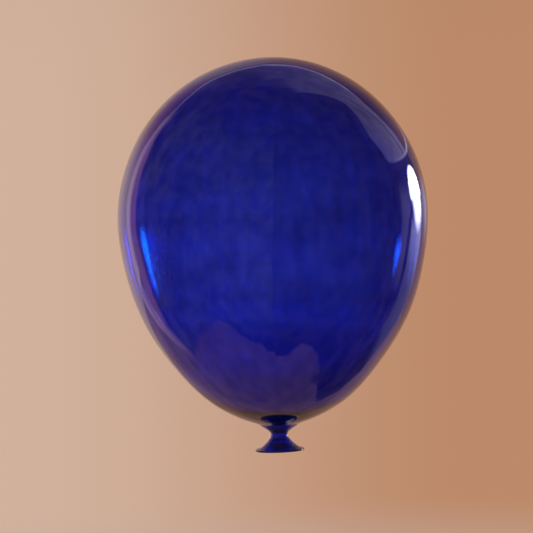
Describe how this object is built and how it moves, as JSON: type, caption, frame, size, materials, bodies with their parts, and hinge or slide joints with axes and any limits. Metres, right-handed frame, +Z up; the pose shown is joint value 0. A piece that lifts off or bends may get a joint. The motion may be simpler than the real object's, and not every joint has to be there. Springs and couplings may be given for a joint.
{
  "type": "blown-glass balloon",
  "caption": "Hollow teardrop bulb of blown cobalt-blue glass, drawn in to a narrow solid neck with a small flared and lipped tail, shaped like an inflated party balloon.",
  "frame": {"origin": "centre of the waist, where the neck stem and the flared tail are joined and a ribbon or cord is tied", "axes": "+Z up the bulb's axis towards its crown, -Y to the front and +X to the right seen from the front; the tail leans towards -Y and a little towards +X"},
  "size_m": [0.2, 0.2, 0.2547],
  "materials": {
    "blown_glass": "fire-polished, thin blown wall",
    "solid_glass": "fire-polished, solid; the lip's underside is ground flat"
  },
  "bodies": {
    "root": {"bulb": "blown_glass", "neck_stem": "solid_glass", "flared_tail": "solid_glass", "lip_wrap": "solid_glass"}
  },
  "joints": []
}
